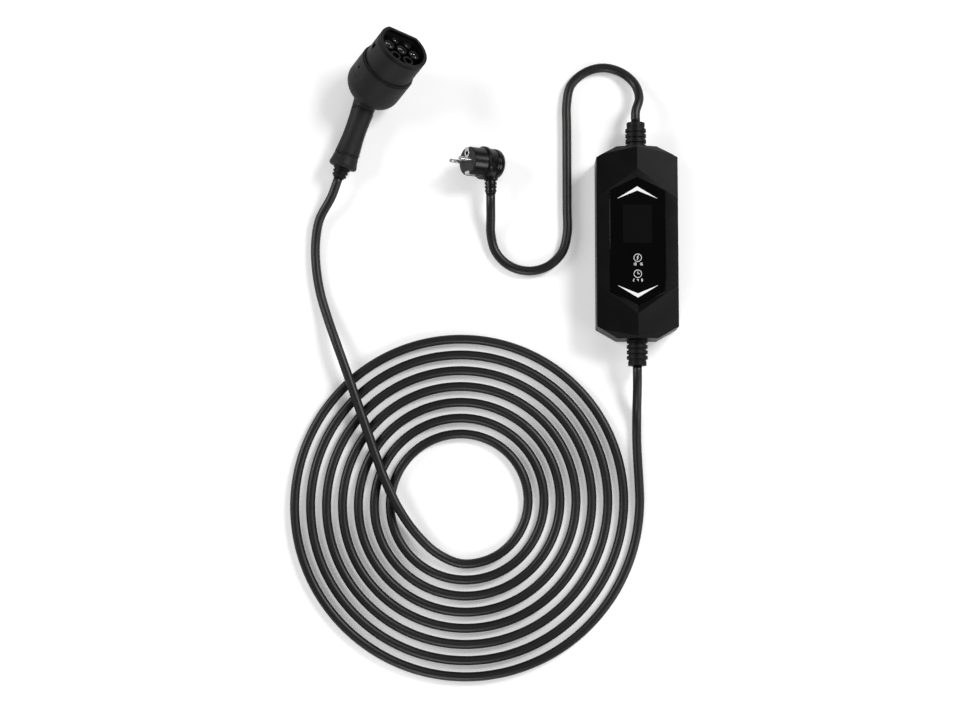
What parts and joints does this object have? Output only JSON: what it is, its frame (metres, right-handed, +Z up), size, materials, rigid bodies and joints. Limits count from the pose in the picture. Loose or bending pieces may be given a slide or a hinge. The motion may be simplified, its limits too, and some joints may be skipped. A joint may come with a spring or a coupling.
{
  "type": "portable car charger",
  "caption": "Portable car charger: faceted control box with touch panel, mains plug on a short cord and car connector on a long coiled cord, laid on a floor.",
  "frame": {"origin": "Middle of the back of the control box, on the floor.", "axes": "X to the right across the box, Y along it towards the mains cord, Z up through the touch panel."},
  "size_m": [0.4709, 0.7773, 0.1008],
  "materials": {
    "shell_plastic": "satin black with a fine grain",
    "gloss_panel": "gloss black",
    "soft_rubber": "dull black",
    "display_glass": "dark grey, dim",
    "spring_steel": "bright steel",
    "circuit_board": "green laminate",
    "part_plastic": "dark moulded case",
    "can_metal": "drawn can",
    "fuse_glass": "clear tube",
    "terminal_plastic": "moulded block",
    "lead_plastic": "insulated wire",
    "insulator_plastic": "satin black",
    "contact_metal": "plated contact",
    "face_plastic": "dark grey",
    "pin_metal": "plated pin",
    "cord_rubber": "satin black sheath"
  },
  "bodies": {
    "root": {"upper_shell": "shell_plastic", "lower_shell": "shell_plastic", "shell_seal": "soft_rubber", "touch_panel": "gloss_panel", "display_module": "display_glass", "touch_springs": "spring_steel", "control_board": "circuit_board", "power_relays": "part_plastic", "current_transformer": "part_plastic", "supply_transformer": "part_plastic", "filter_capacitors": "can_metal", "fuse": "fuse_glass", "mains_terminal": "terminal_plastic", "output_terminal": "terminal_plastic", "mains_leads": "lead_plastic", "output_leads": "lead_plastic", "board_screws": "spring_steel", "shell_screws": "spring_steel", "mains_relief": "soft_rubber", "charge_relief": "soft_rubber", "nose_sleeve": "shell_plastic", "contact_insert": "insulator_plastic", "power_towers": "insulator_plastic", "signal_towers": "insulator_plastic", "power_contacts": "contact_metal", "signal_contacts": "contact_metal", "nose_seal": "soft_rubber", "head_housing": "shell_plastic", "side_plate": "gloss_panel", "handle_shell": "shell_plastic", "grip_pad": "soft_rubber", "end_cap": "shell_plastic", "gun_gland": "soft_rubber", "gun_conductors": "lead_plastic", "coding_board": "circuit_board", "plug_body": "soft_rubber", "plug_face": "face_plastic", "plug_pins": "pin_metal", "earth_frame": "pin_metal", "earth_strip": "pin_metal", "mains_cord": "cord_rubber", "charge_lead": "cord_rubber", "charge_coil": "cord_rubber", "charge_tail": "cord_rubber"}
  },
  "joints": []
}
